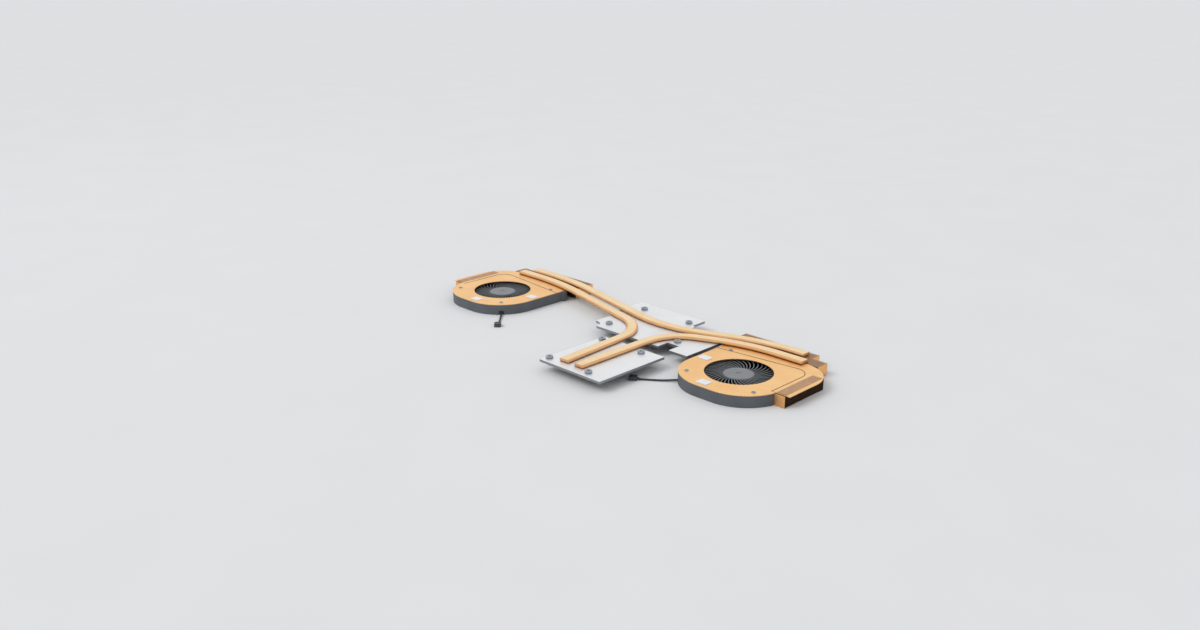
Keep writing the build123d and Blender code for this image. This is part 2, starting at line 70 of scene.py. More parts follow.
# Floor
# A wide sheet of pale matt paper, the same grey up to the far edge of the picture.
# It lies just under the fans, on which the cooler rests.
floor_half = 25.0
floor_drop = 0.02 * mm
paper_shine = 0.1
drift_low = 0.35
drift_high = 0.65
grain_low = 0.3
grain_high = 0.7
grain_shade = 0.4
fine_detail = 2.0
edge_samples = 4
sharp_angle = 35.0


def colour(code):
    """The linear red, green, blue and alpha of a colour written as on a web page."""
    parts = [int(code[i : i + 2], 16) / 255 for i in (1, 3, 5)]
    return [p / 12.92 if p <= 0.04045 else ((p + 0.055) / 1.055) ** 2.4 for p in parts] + [1.0]


def noise(tree, size, stretch=(1, 1, 1), detail=3.0, source="Object"):
    """A noise with spots of this size, which are longer along an axis with a higher stretch."""
    coordinates = tree.nodes.new("ShaderNodeTexCoord")
    mapping = tree.nodes.new("ShaderNodeMapping")
    mapping.inputs["Scale"].default_value = [1 / (size * share) for share in stretch]
    texture = tree.nodes.new("ShaderNodeTexNoise")
    texture.inputs["Scale"].default_value = 1.0
    texture.inputs["Detail"].default_value = detail
    tree.links.new(coordinates.outputs[source], mapping.inputs["Vector"])
    tree.links.new(mapping.outputs["Vector"], texture.inputs["Vector"])
    return texture.outputs[0]


def surface(
    name,
    dark,
    light,
    drift,
    rough,
    grain,
    depth,
    stretch=(1, 1, 1),
    metal=0.0,
    edge=0.05 * mm,
    source="Object",
):
    """A material that drifts between two colours, with a grain in its tone, shine and height."""
    material = bpy.data.materials.new(name)
    material.use_nodes = True
    tree = material.node_tree
    shader = tree.nodes["Principled BSDF"]
    shader.inputs["Metallic"].default_value = metal
    ramp = tree.nodes.new("ShaderNodeValToRGB")
    ramp.color_ramp.elements[0].position = drift_low
    ramp.color_ramp.elements[0].color = colour(dark)
    ramp.color_ramp.elements[1].position = drift_high
    ramp.color_ramp.elements[1].color = colour(light)
    relief = noise(tree, grain, stretch, fine_detail, source)
    shade = tree.nodes.new("ShaderNodeMix")
    shade.inputs["Factor"].default_value = grain_shade
    tree.links.new(noise(tree, drift), shade.inputs["A"])
    tree.links.new(relief, shade.inputs["B"])
    tree.links.new(shade.outputs["Result"], ramp.inputs["Fac"])
    tree.links.new(ramp.outputs["Color"], shader.inputs["Base Color"])
    spread = tree.nodes.new("ShaderNodeMapRange")
    spread.inputs["From Min"].default_value = grain_low
    spread.inputs["From Max"].default_value = grain_high
    spread.inputs["To Min"].default_value = rough[0]
    spread.inputs["To Max"].default_value = rough[1]
    tree.links.new(relief, spread.inputs["Value"])
    tree.links.new(spread.outputs["Result"], shader.inputs["Roughness"])
    rounding = tree.nodes.new("ShaderNodeBevel")
    rounding.samples = edge_samples
    rounding.inputs["Radius"].default_value = edge
    bump = tree.nodes.new("ShaderNodeBump")
    bump.inputs["Distance"].default_value = depth
    tree.links.new(relief, bump.inputs["Height"])
    tree.links.new(rounding.outputs["Normal"], bump.inputs["Normal"])
    tree.links.new(bump.outputs["Normal"], shader.inputs["Normal"])
    return material


def new_piece(name, vertices, faces, materials, body=None):
    """A piece with its own mesh. It moves with that body of the CAD model, where one is named."""
    mesh = bpy.data.meshes.new(name)
    mesh.from_pydata([tuple(v) for v in vertices], [], faces)
    skin = bmesh.new()
    skin.from_mesh(mesh)
    bmesh.ops.recalc_face_normals(skin, faces=skin.faces)
    skin.to_mesh(mesh)
    skin.free()
    for material in materials:
        mesh.materials.append(material)
    mesh.shade_smooth()
    mesh.set_sharp_from_angle(angle=radians(sharp_angle))
    piece = bpy.data.objects.new(name, mesh)
    bpy.context.scene.collection.objects.link(piece)
    if body:
        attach(piece, body)
    return piece


paper = surface(
    "paper",
    dark="#cbccce",
    light="#cdced0",
    drift=60 * mm,
    rough=(0.9, 1.0),
    grain=0.6 * mm,
    depth=0.005 * mm,
)
paper.node_tree.nodes["Principled BSDF"].inputs["Specular IOR Level"].default_value = paper_shine
floor_corners = [
    (-floor_half, -floor_half, -floor_drop),
    (floor_half, -floor_half, -floor_drop),
    (floor_half, floor_half, -floor_drop),
    (-floor_half, floor_half, -floor_drop),
]
floor = new_piece("floor", floor_corners, [(0, 1, 2, 3)], [paper])


# Lights
# A pale room all round, and a very wide soft sun for the shadows, which the metal doesn't
# reflect. A small white panel above on the left gives the metal its faint highlights.
room_colour = "#ffffff"
room_strength = 0.935
sun_strength = 1.15
sun_width = 30.0
sun_from_front = 38.0
sun_from_left = 22.0
panel_place = (-0.55, -0.35, 0.75)
panel_width = 0.6
panel_power = 0.4
world = bpy.data.worlds.new("room")
world.use_nodes = True
world.node_tree.nodes["Background"].inputs["Color"].default_value = colour(room_colour)
world.node_tree.nodes["Background"].inputs["Strength"].default_value = room_strength
bpy.context.scene.world = world
sun_data = bpy.data.lights.new("sun", "SUN")
sun_data.energy = sun_strength
sun_data.angle = radians(sun_width)
sun = bpy.data.objects.new("sun", sun_data)
sun.rotation_euler = (radians(sun_from_front), radians(-sun_from_left), 0)
sun.visible_glossy = False
bpy.context.scene.collection.objects.link(sun)
panel_data = bpy.data.lights.new("panel", "AREA")
panel_data.shape = "SQUARE"
panel_data.size = panel_width
panel_data.energy = panel_power
panel = bpy.data.objects.new("panel", panel_data)
panel.location = panel_place
panel.rotation_euler = Vector(panel_place).to_track_quat("Z", "Y").to_euler()
bpy.context.scene.collection.objects.link(panel)


# Leads
# Three thin wires in one smooth dark sleeve for each fan. Soldered to the fan's board, each lead
# leaves through the rubber grommet in the wall and lies on the ground up to its plug.
lead_thick = 1.1 * mm
lead_high = 1.17 * mm
lead_low = 0.57 * mm
lead_points = {
    "right": [
        (89.72 * mm, -5.95 * mm, lead_high),
        (82.80 * mm, -11.62 * mm, lead_high),
        (75.02 * mm, -18.52 * mm, lead_high),
        (70.20 * mm, -22.55 * mm, lead_low),
        (64.45 * mm, -26.93 * mm, lead_low),
        (58.60 * mm, -31.00 * mm, lead_low),
    ],
    "left": [
        (-89.72 * mm, -1.15 * mm, lead_high),
        (-82.80 * mm, -6.82 * mm, lead_high),
        (-75.02 * mm, -13.72 * mm, lead_high),
        (-70.90 * mm, -17.75 * mm, lead_low),
        (-66.50 * mm, -22.30 * mm, lead_low),
        (-62.30 * mm, -26.90 * mm, lead_low),
    ],
}
sleeve_steps = (16, 5)
sleeve = surface(
    "sleeve",
    dark="#26282a",
    light="#34373a",
    drift=4 * mm,
    rough=(0.42, 0.55),
    grain=0.25 * mm,
    depth=0.01 * mm,
)


def paint(material, *names):
    """Puts a material on carried-over nodes of the CAD model."""
    for name in names:
        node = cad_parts[name]
        node.data.materials.clear()
        node.data.materials.append(material)


def cable_skin(name, routes, thick, steps, closed_ends, material):
    """A round cable on each route, with steps between its points and round a quarter of it."""
    curve = bpy.data.curves.new(name, "CURVE")
    curve.dimensions = "3D"
    curve.bevel_depth = thick / 2
    curve.resolution_u, curve.bevel_resolution = steps
    curve.use_fill_caps = closed_ends
    for route in routes:
        spline = curve.splines.new("NURBS")
        spline.points.add(len(route) - 1)
        for control, place in zip(spline.points, route):
            control.co = (*place, 1)
        spline.order_u = 3
        spline.use_endpoint_u = True
    curve.materials.append(material)
    piece = bpy.data.objects.new(name, curve)
    bpy.context.scene.collection.objects.link(piece)
    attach(piece, "heatsink")
    return piece


leads = {}
for side, points in lead_points.items():
    leads[side] = cable_skin(
        f"{side}_lead_sleeve",
        [points],
        lead_thick,
        sleeve_steps,
        closed_ends=True,
        material=sleeve,
    )
    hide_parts(f"{side}_lead")


# Plugs
# Small black sockets of moulded nylon at the ends of the leads, each with three tin contacts
# in its openings. Three thin wires fan out of the sleeve's end into the back of each plug.
plug_middle = 1.1 * mm
contact_pitch = 1.2 * mm
contact_outside = 0.5 * mm
contact_sheet = 0.08 * mm
contact_back = 2.3 * mm
contact_front = 4.1 * mm
wire_thick = 0.5 * mm
wire_steps = (8, 3)
wire_route = [
    (-3.2 * mm, 0.1, lead_low),
    (-2.0 * mm, 0.4, 0.60 * mm),
    (-0.5 * mm, 1.0, 0.95 * mm),
    (0.3 * mm, 1.0, 0.95 * mm),
]
nylon = surface(
    "nylon",
    dark="#2b2d30",
    light="#383b3f",
    drift=3 * mm,
    rough=(0.4, 0.55),
    grain=0.12 * mm,
    depth=0.004 * mm,
)
tin = surface(
    "tin",
    dark="#b9bbbd",
    light="#d3d5d6",
    drift=0.6 * mm,
    rough=(0.22, 0.35),
    grain=0.05 * mm,
    depth=0.001 * mm,
    metal=1.0,
)
wire_skin = surface(
    "wire_skin",
    dark="#1d1e20",
    light="#2a2c2e",
    drift=1 * mm,
    rough=(0.3, 0.4),
    grain=0.1 * mm,
    depth=0.002 * mm,
)
paint(nylon, "left_plug", "right_plug")


def rings_mesh(rings):
    """Vertices and faces of a closed skin over rings that all have the same number of points."""
    count = len(rings[0])
    faces = []
    for start in range(0, (len(rings) - 1) * count, count):
        for here in range(count):
            there = (here + 1) % count
            faces.append((start + here, start + there, start + count + there, start + count + here))
    faces.append(tuple(range(count)))
    faces.append(tuple(range((len(rings) - 1) * count, len(rings) * count)))
    return [point for ring in rings for point in ring], faces


def joined(parts):
    """The vertices and faces of several skins as one."""
    vertices, faces = [], []
    for more_vertices, more_faces in parts:
        faces += [tuple(len(vertices) + i for i in face) for face in more_faces]
        vertices += more_vertices
    return vertices, faces


contact_half = contact_outside / 2
contact_inner = contact_half - contact_sheet
contact_section = [
    (-contact_half, -contact_half),
    (contact_half, -contact_half),
    (contact_half, contact_half),
    (contact_inner, contact_half),
    (contact_inner, -contact_inner),
    (-contact_inner, -contact_inner),
    (-contact_inner, contact_half),
    (-contact_half, contact_half),
]
for side, lead in leads.items():
    plug_start = Vector(lead_points[side][-1][:2])
    onward = (plug_start - Vector(lead_points[side][-2][:2])).normalized()
    across = Vector((-onward.y, onward.x))
    contact_skins = []
    wire_routes = []
    for place in (-1, 0, 1):
        offset = across * place * contact_pitch
        rings = []
        for reach in (contact_back, contact_front):
            end = plug_start + onward * reach + offset
            rings.append([(*(end + across * y), plug_middle + z) for y, z in contact_section])
        contact_skins.append(rings_mesh(rings))
        route = []
        for reach, share, height in wire_route:
            route.append((*(plug_start + onward * reach + offset * share), height))
        wire_routes.append(route)
    wires = cable_skin(
        f"{side}_plug_wires",
        wire_routes,
        wire_thick,
        wire_steps,
        closed_ends=False,
        material=wire_skin,
    )
    contacts = new_piece(f"{side}_plug_contacts", *joined(contact_skins), [tin], "heatsink")


# Fan housings
# Flat trays of dark glass-filled nylon, moulded with their walls, bosses and spokes. A fine
# eroded grain covers them, a little shinier where the mould was polished.
housing_plastic = surface(
    "housing_plastic",
    dark="#4b4f54",
    light="#55595e",
    drift=9 * mm,
    rough=(0.5, 0.68),
    grain=0.18 * mm,
    depth=0.012 * mm,
    edge=0.12 * mm,
)
paint(housing_plastic, "left_fan_housing", "right_fan_housing")


# Fan covers and outlet plates
# Rolled copper sheet, stamped flat. Its rolling lines run along the laptop, and the surface
# has a faint uneven tarnish. The covers are screwed to the housings.
rolled_copper = surface(
    "rolled_copper",
    dark="#f4c17f",
    light="#fcd094",
    drift=14 * mm,
    rough=(0.34, 0.46),
    grain=0.05 * mm,
    depth=0.001 * mm,
    stretch=(100, 1, 1),
    metal=1.0,
)
paint(rolled_copper, "left_fan_cover", "right_fan_cover", "left_outlet_plate", "right_outlet_plate")


# Seals
# A thin bead of black sealant fills the seam between each cover and its outlet plate, so that
# no air leaks past the fins. It is wiped flat and stands a little above the copper.
fan_axes = {"right": (100.0 * mm, 3.65 * mm, 1), "left": (-100.0 * mm, 8.45 * mm, -1)}
cover_high = 6.8 * mm
seal_stem = 0.28 * mm
seal_stem_low = 6.44 * mm
seal_cap = 0.38 * mm
seal_cap_low = 6.805 * mm
seal_cap_high = 6.9 * mm
seal_round = 0.05 * mm
seal_turn_radius = 8.0 * mm
seal_route = [(-30.6 * mm, 20.06 * mm), (28.25 * mm, 26.37 * mm), (28.25 * mm, -9.5 * mm)]
turn_step = radians(2.5)
sealant = surface(
    "sealant",
    dark="#17181a",
    light="#222326",
    drift=3 * mm,
    rough=(0.45, 0.6),
    grain=0.3 * mm,
    depth=0.01 * mm,
)


def rounded_route(corners, radii):
    """The middle line of a route in plan, with an arc of the given radius at each corner."""
    line = [Vector(corners[0])]
    for before, corner, after, radius in zip(corners, corners[1:], corners[2:], radii):
        backward = (Vector(before) - Vector(corner)).normalized()
        forward = (Vector(after) - Vector(corner)).normalized()
        half = backward.angle(forward) / 2
        centre = Vector(corner) + (backward + forward).normalized() * radius / sin(half)
        first = (Vector(corner) + backward * radius / tan(half) - centre).normalized()
        last = (Vector(corner) + forward * radius / tan(half) - centre).normalized()
        steps = max(2, round((pi - 2 * half) / turn_step))
        line += [centre + first.slerp(last, step / steps) * radius for step in range(steps + 1)]
    return line + [Vector(corners[-1])]


def swept(line, sections, middle):
    """Rings of a flat bar along a line in plan, at this height, with one section for each point."""
    rings = []
    for place, (point, section) in enumerate(zip(line, sections)):
        way = (line[min(place + 1, len(line) - 1)] - line[max(place - 1, 0)]).normalized()
        rings.append([(*(point + Vector((way.y, -way.x)) * w), middle + h) for w, h in section])
    return rings


seal_section = [
    (seal_stem / 2, seal_stem_low - cover_high),
    (seal_stem / 2, seal_cap_low - cover_high),
    (seal_cap / 2, seal_cap_low - cover_high),
    (seal_cap / 2, seal_cap_high - seal_round - cover_high),
    (seal_cap / 2 - seal_round, seal_cap_high - cover_high),
]
seal_section += [(-w, h) for w, h in reversed(seal_section)]
for side, (axis_x, axis_y, sign) in fan_axes.items():
    corners = [(axis_x + sign * x, axis_y + y) for x, y in seal_route]
    line = rounded_route(corners, [seal_turn_radius])
    rings = swept(line, [seal_section] * len(line), cover_high)
    new_piece(f"{side}_seam_seal", *rings_mesh(rings), [sealant], "heatsink")


# Base plates
# Stamped aluminium plates, nickelled pale and dull, whose upper face carries the pipes. Their
# sides and undersides are painted greyer, as shade. The captive screws hold them down on the board.
plate_shade_low = 6.62 * mm
plate_shade_high = 6.76 * mm
plate_side_shade_grey = "#93969a"
dull_nickel = surface(
    "dull_nickel",
    dark="#e1e3e5",
    light="#ebecee",
    drift=20 * mm,
    rough=(0.36, 0.5),
    grain=0.2 * mm,
    depth=0.002 * mm,
    metal=0.85,
)


def tone_below(material, low, high, tone):
    """Gives a material another colour below a height, which fades out up to the second height."""
    tree = material.node_tree
    place = tree.nodes.new("ShaderNodeTexCoord")
    axes = tree.nodes.new("ShaderNodeSeparateXYZ")
    share = tree.nodes.new("ShaderNodeMapRange")
    share.inputs["From Min"].default_value = low
    share.inputs["From Max"].default_value = high
    blend = tree.nodes.new("ShaderNodeMix")
    blend.data_type = "RGBA"
    blend.inputs["A"].default_value = colour(tone)
    tree.links.new(place.outputs["Object"], axes.inputs["Vector"])
    tree.links.new(axes.outputs["Z"], share.inputs["Value"])
    tree.links.new(share.outputs["Result"], blend.inputs["Factor"])
    tree.links.new(tree.nodes["Color Ramp"].outputs["Color"], blend.inputs["B"])
    tree.links.new(blend.outputs["Result"], tree.nodes["Principled BSDF"].inputs["Base Color"])


# Painted shade: below the upper face the plates turn grey, so their sides and undersides look
# shaded.
tone_below(dull_nickel, plate_shade_low, plate_shade_high, plate_side_shade_grey)
paint(dull_nickel, "front_base_plate", "rear_base_plate")


# Contact blocks
# Machined copper blocks soldered under the plates. Each lies on a chip, so its lower face
# has the fine parallel lines of a fly cutter.
cut_copper = surface(
    "cut_copper",
    dark="#d98f58",
    light="#e6a56c",
    drift=8 * mm,
    rough=(0.25, 0.4),
    grain=0.1 * mm,
    depth=0.002 * mm,
    stretch=(1, 40, 1),
    metal=1.0,
)
paint(cut_copper, "front_contact_block", "rear_contact_block")


# Heat pipes
# Copper tubes with a sintered wick, bent in plan and pressed flat, which burnishes their upper and
# lower faces. These flats are painted paler as lit faces, and the round sides darker as shade. They
# are soldered on the plates, covers and fins, and the round sides are painted dark brown towards
# their feet, as the shade where they meet the parts below.
pipe_height = 1.9 * mm
pipe_width = 6.77 * mm
pipe_end_round = 0.12 * mm
pipe_side_points = 9
pipe_foot_shade_high = 7.0 * mm
pipe_foot_shade_fade = 7.45 * mm
pipe_foot_shade_brown = "#4a2f1e"
pipe_routes = {
    "long_heat_pipe": (
        [(-114.5, 51.85), (-78.65, 51.85), (26.3, 25.4), (84.7, 47.85), (112.3, 47.85)],
        [170, 82, 115],
    ),
    "left_heat_pipe": (
        [(-119.3, 42.85), (-81.9, 42.85), (19.7, 16.45), (24.75, -52.75)],
        [160, 30],
    ),
    "right_heat_pipe": (
        [(118.2, 37.85), (80.2, 37.85), (35.7, 19.15), (35.9, -52.75)],
        [100, 27],
    ),
}
# The flat faces are painted paler than the round sides, as lit faces against shaded ones.
pressed_copper_painted_lit = surface(
    "pressed_copper_painted_lit",
    dark="#f3d09a",
    light="#f9dfb0",
    drift=14 * mm,
    rough=(0.26, 0.36),
    grain=0.12 * mm,
    depth=0.0012 * mm,
    stretch=(60, 1, 1),
    metal=1.0,
    source="UV",
)
drawn_copper_painted_shade = surface(
    "drawn_copper_painted_shade",
    dark="#dca878",
    light="#e8b98a",
    drift=10 * mm,
    rough=(0.4, 0.55),
    grain=0.12 * mm,
    depth=0.0015 * mm,
    stretch=(60, 1, 1),
    metal=1.0,
    source="UV",
)
# Painted shade: the round sides turn dark brown towards the foot of each pipe.
tone_below(drawn_copper_painted_shade, pipe_foot_shade_high, pipe_foot_shade_fade, pipe_foot_shade_brown)
half_flat = (pipe_width - pipe_height) / 2
side_turns = [pi * (step / (pipe_side_points - 1) - 0.5) for step in range(pipe_side_points)]
side_half = pipe_height / 2
pipe_section = [(half_flat + cos(turn) * side_half, sin(turn) * side_half) for turn in side_turns]
pipe_section += [(-w, -h) for w, h in pipe_section]
end_width = 1 - 2 * pipe_end_round / pipe_width
end_height = 1 - 2 * pipe_end_round / pipe_height
end_section = [(w * end_width, h * end_height) for w, h in pipe_section]
around = [0.0]
for here, there in zip(pipe_section, pipe_section[1:] + pipe_section[:1]):
    around.append(around[-1] + (Vector(there) - Vector(here)).length)
pipe_coppers = [drawn_copper_painted_shade, pressed_copper_painted_lit]
for name, (corners, radii) in pipe_routes.items():
    line = rounded_route([(x * mm, y * mm) for x, y in corners], [radius * mm for radius in radii])
    line.insert(1, line[0] + (line[1] - line[0]).normalized() * pipe_end_round)
    line.insert(-1, line[-1] - (line[-1] - line[-2]).normalized() * pipe_end_round)
    travelled = [0.0]
    for here, there in zip(line, line[1:]):
        travelled.append(travelled[-1] + (there - here).length)
    sections = [end_section] + [pipe_section] * (len(line) - 2) + [end_section]
    rings = swept(line, sections, cover_high + pipe_height / 2)
    pipe = new_piece(name + "_skin", *rings_mesh(rings), pipe_coppers, "heatsink")
    grain = pipe.data.uv_layers.new(name="grain")
    count = len(pipe_section)
    for face in pipe.data.polygons[: (len(rings) - 1) * count]:
        station, place = divmod(face.index, count)
        on_flat = place in (pipe_side_points - 1, count - 1) and 0 < station < len(rings) - 2
        face.material_index = pipe_coppers.index(pressed_copper_painted_lit if on_flat else drawn_copper_painted_shade)
        for loop in face.loop_indices:
            vertex_station, vertex_place = divmod(pipe.data.loops[loop].vertex_index, count)
            wrapped = count if vertex_place == 0 and place == count - 1 else vertex_place
            grain.data[loop].uv = (travelled[vertex_station], around[wrapped])
    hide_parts(name)


# Fins
# Thin copper sheets with folded edges and slits between them, soldered under the pipes and in the
# outlet plate's window. The end sheets are painted brighter, as lit faces, and the folds greyer,
# the cut edges darker and the walls inside the slits nearly black, as shade in and between the
# slits.
fin_pitch = 1.0 * mm
fin_sheet = 0.2 * mm
fin_slit = 0.34 * mm
fold_radius = 0.15 * mm
fold_bend = 0.3
cut_edge_facing = 0.5
width_axis = 0
depth_axis = 1
cover_sheet = 0.4 * mm
window_rim = 0.8 * mm
window_end = 1.4 * mm
# Painted light and shade: one copper in four tones, brightest on the end sheets, darkest in the
# slits.
end_copper_painted_lit = surface(
    "end_copper_painted_lit",
    dark="#f0b06c",
    light="#f8c084",
    drift=6 * mm,
    rough=(0.34, 0.48),
    grain=0.1 * mm,
    depth=0.002 * mm,
    metal=1.0,
)
fold_copper_painted_shade = surface(
    "fold_copper_painted_shade",
    dark="#c69e7d",
    light="#d5ad8b",
    drift=5 * mm,
    rough=(0.4, 0.55),
    grain=0.1 * mm,
    depth=0.002 * mm,
    metal=0.9,
)
edge_copper_painted_shade = surface(
    "edge_copper_painted_shade",
    dark="#5e4433",
    light="#765743",
    drift=1 * mm,
    rough=(0.45, 0.6),
    grain=0.1 * mm,
    depth=0.003 * mm,
    metal=0.8,
)
slit_copper_painted_shade = surface(
    "slit_copper_painted_shade",
    dark="#241d1a",
    light="#352a24",
    drift=2 * mm,
    rough=(0.6, 0.8),
    grain=0.15 * mm,
    depth=0.006 * mm,
    metal=0.4,
)


def fin_stack(low, high, along, window=(0, 0)):
    """Skins of folded fins set side by side along one axis, from one corner of a box to the other.

    Those that lie wholly in the window rise through the sheet above the box.
    """
    across = 1 - along
    count = round((high[along] - low[along] - fin_sheet) / fin_pitch)
    step = (high[along] - low[along] - fin_sheet) / count
    reach = step - fin_slit
    bend = fold_bend * fold_radius
    skins = []
    for place in range(count + 1):
        start = low[along] + place * step
        tall = high[2] - low[2]
        if window[0] < start and start + reach < window[1]:
            tall += cover_sheet
        section = [
            (reach, 0),
            (fold_radius, 0),
            (bend, bend),
            (0, fold_radius),
            (0, tall - fold_radius),
            (bend, tall - bend),
            (fold_radius, tall),
            (reach, tall),
            (reach, tall - fin_sheet),
            (fin_sheet, tall - fin_sheet),
            (fin_sheet, fin_sheet),
            (reach, fin_sheet),
        ]
        if place == count:
            section = [(0, 0), (0, tall), (fin_sheet, tall), (fin_sheet, 0)]
        rings = []
        for end in (low[across], high[across]):
            ring = []
            for a, z in section:
                point = [0, 0, low[2] + z]
                point[along] = start + a
                point[across] = end
                ring.append(tuple(point))
            rings.append(ring)
        skins.append(rings_mesh(rings))
    return skins


def fill_with_fins(node, skins, along):
    """The piece that stands for a stack of fins, with end sheets painted bright as lit and slits
    painted dark as shade.
    """
    low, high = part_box(node)
    coppers = [end_copper_painted_lit, fold_copper_painted_shade, edge_copper_painted_shade, slit_copper_painted_shade]
    stack = new_piece(node[:-1] + "_sheets", *joined(skins), coppers, "heatsink")
    for face in stack.data.polygons:
        between_ends = low[along] + fin_sheet / 2 < face.center[along] < high[along] - fin_sheet / 2
        between_folds = low.z + fin_sheet / 2 < face.center.z < high.z - fin_sheet / 2
        # Each face gets the tone painted for its light: lit end sheets, shaded folds, edges and
        # slit walls.
        if not between_ends:
            copper = end_copper_painted_lit
        elif not between_folds:
            copper = fold_copper_painted_shade
        elif abs(face.normal[1 - along]) > cut_edge_facing:
            copper = edge_copper_painted_shade
        else:
            copper = slit_copper_painted_shade
        face.material_index = coppers.index(copper)
    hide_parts(node)


for side in ("left", "right"):
    for row in ("rear_inner", "rear_outer"):
        low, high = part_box(f"{side}_{row}_fins")
        fill_with_fins(f"{side}_{row}_fins", fin_stack(low, high, width_axis), width_axis)
    low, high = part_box(f"{side}_side_fins")
    roof = high.z - cover_sheet
    window = (low.y + window_end, high.y - window_end)
    if side == "right":
        rim = low.x + window_rim
        under, through = (low.x, rim), (rim, high.x)
    else:
        rim = high.x - window_rim
        under, through = (rim, high.x), (low.x, rim)
    skins = fin_stack((under[0], low.y, low.z), (under[1], high.y, roof), depth_axis)
    skins += fin_stack((through[0], low.y, low.z), (through[1], high.y, roof), depth_axis, window)
    fill_with_fins(f"{side}_side_fins", skins, depth_axis)


# Impellers
# One moulding of dark glass-filled plastic each, a cup with curved blades round it. Below their
# upper edges the blades are painted near black, as the shade between them, so the hub and the upper
# edges of the blades stand out paler.
blade_shade_low = 5.2 * mm
blade_shade_high = 5.45 * mm
blade_flank_shade = "#1c1e20"
blade_plastic = surface(
    "blade_plastic",
    dark="#62656a",
    light="#707478",
    drift=5 * mm,
    rough=(0.38, 0.5),
    grain=0.1 * mm,
    depth=0.004 * mm,
)
# Painted shade: the blade flanks turn near black below the upper edges.
tone_below(blade_plastic, blade_shade_low, blade_shade_high, blade_flank_shade)
paint(blade_plastic, "left_impeller", "right_impeller")


# Inside the motors
# Magnet rings and shafts in the hubs, and on the housings the sintered bushes, the stacked
# steel cores, their windings and the round boards with green lacquer.
magnet_grey = surface(
    "magnet_grey",
    dark="#3a3a3c",
    light="#4a4a4d",
    drift=2 * mm,
    rough=(0.45, 0.6),
    grain=0.1 * mm,
    depth=0.003 * mm,
)
ground_steel = surface(
    "ground_steel",
    dark="#a9abae",
    light="#c0c2c5",
    drift=2 * mm,
    rough=(0.18, 0.3),
    grain=0.05 * mm,
    depth=0.0006 * mm,
    stretch=(1, 1, 0.2),
    metal=1.0,
)
sintered_bronze = surface(
    "sintered_bronze",
    dark="#8f6b3e",
    light="#a8824f",
    drift=1 * mm,
    rough=(0.4, 0.6),
    grain=0.06 * mm,
    depth=0.01 * mm,
    metal=1.0,
)
core_steel = surface(
    "core_steel",
    dark="#7d8083",
    light="#94979a",
    drift=2 * mm,
    rough=(0.35, 0.5),
    grain=0.35 * mm,
    depth=0.02 * mm,
    stretch=(30, 30, 1),
    metal=1.0,
)
winding_copper = surface(
    "winding_copper",
    dark="#9c4f22",
    light="#b8652f",
    drift=1 * mm,
    rough=(0.2, 0.35),
    grain=0.12 * mm,
    depth=0.02 * mm,
    stretch=(8, 8, 1),
    metal=0.9,
)
board_lacquer = surface(
    "board_lacquer",
    dark="#1f3d2a",
    light="#274b34",
    drift=3 * mm,
    rough=(0.25, 0.4),
    grain=0.3 * mm,
    depth=0.004 * mm,
)
paint(magnet_grey, "left_rotor_magnet", "right_rotor_magnet")
paint(ground_steel, "left_shaft", "right_shaft")
paint(sintered_bronze, "left_bearing_bush", "right_bearing_bush")
paint(core_steel, "left_stator_core", "right_stator_core")
paint(winding_copper, "left_stator_coils", "right_stator_coils")
paint(board_lacquer, "left_fan_board", "right_fan_board")


# Grommets
# Black rubber saddles pressed into the notches of the walls, over the leads. Their skin is matt
# and a little dusty.
rubber = surface(
    "rubber",
    dark="#202122",
    light="#2b2c2e",
    drift=2 * mm,
    rough=(0.7, 0.85),
    grain=0.08 * mm,
    depth=0.006 * mm,
)
paint(rubber, "left_lead_grommet", "right_lead_grommet")


# Cover screws
# Zinc-plated steel pan heads with a cross recess, a little blue. Three of them go through each
# cover and outlet plate into the bosses of the housing.
cover_screw_places = [(-20.6 * mm, -18.4 * mm), (22.7 * mm, -17.15 * mm), (-22.8 * mm, 22.2 * mm)]
cover_screw_tip = [(0.35, 3.2), (0.5, 3.4)]
cover_screw_thread = (0.6, 3.4, 6.4)
cover_screw_neck = [(0.55, 6.4), (0.55, 6.8)]
cover_screw_head = [(1.2, 6.8), (1.25, 6.85), (1.25, 6.98), (1.16, 7.09), (0.95, 7.15)]
cover_screw_recess = [(0.75, 0.17, 7.15), (0.55, 0.13, 6.88)]
ring_points = 48
ring_start = -2
thread_depth = 0.12 * mm
thread_pitch = 0.4 * mm
thread_steps = 4
screw_steel = surface(
    "screw_steel",
    dark="#8e98a3",
    light="#a6b0ba",
    drift=1.5 * mm,
    rough=(0.25, 0.4),
    grain=0.08 * mm,
    depth=0.002 * mm,
    metal=1.0,
)


def circle(radius, z):
    """A ring of points round the axis of a screw, which starts where a cross recess does."""
    turns = [2 * pi * (place + ring_start) / ring_points for place in range(ring_points)]
    return [(radius * cos(turn), radius * sin(turn), z) for turn in turns]


def cross(half_length, half_width, z):
    """A ring of points round the outline of a cross recess."""
    arm = [(half_length, -half_width), (half_length, half_width), (half_width, half_width)]
    half_cross = arm + [(-y, x) for x, y in arm]
    corners = half_cross + [(-x, -y) for x, y in half_cross]
    steps = ring_points // len(corners)
    ring = []
    for (x, y), (next_x, next_y) in zip(corners, corners[1:] + corners[:1]):
        shares = [step / steps for step in range(steps)]
        ring += [(x + (next_x - x) * share, y + (next_y - y) * share, z) for share in shares]
    return ring


def thread(radius, low, high):
    """Rings of a screw thread, whose ridge climbs by one pitch in each turn."""
    rings = []
    count = round((high - low) / thread_pitch * thread_steps)
    for level in range(1, count):
        ring = []
        for place, (x, y, z) in enumerate(circle(radius, low + (high - low) * level / count)):
            phase = (z / thread_pitch - place / ring_points) % 1
            share = 1 - thread_depth / radius * abs(2 * phase - 1)
            ring.append((x * share, y * share, z))
        rings.append(ring)
    return rings


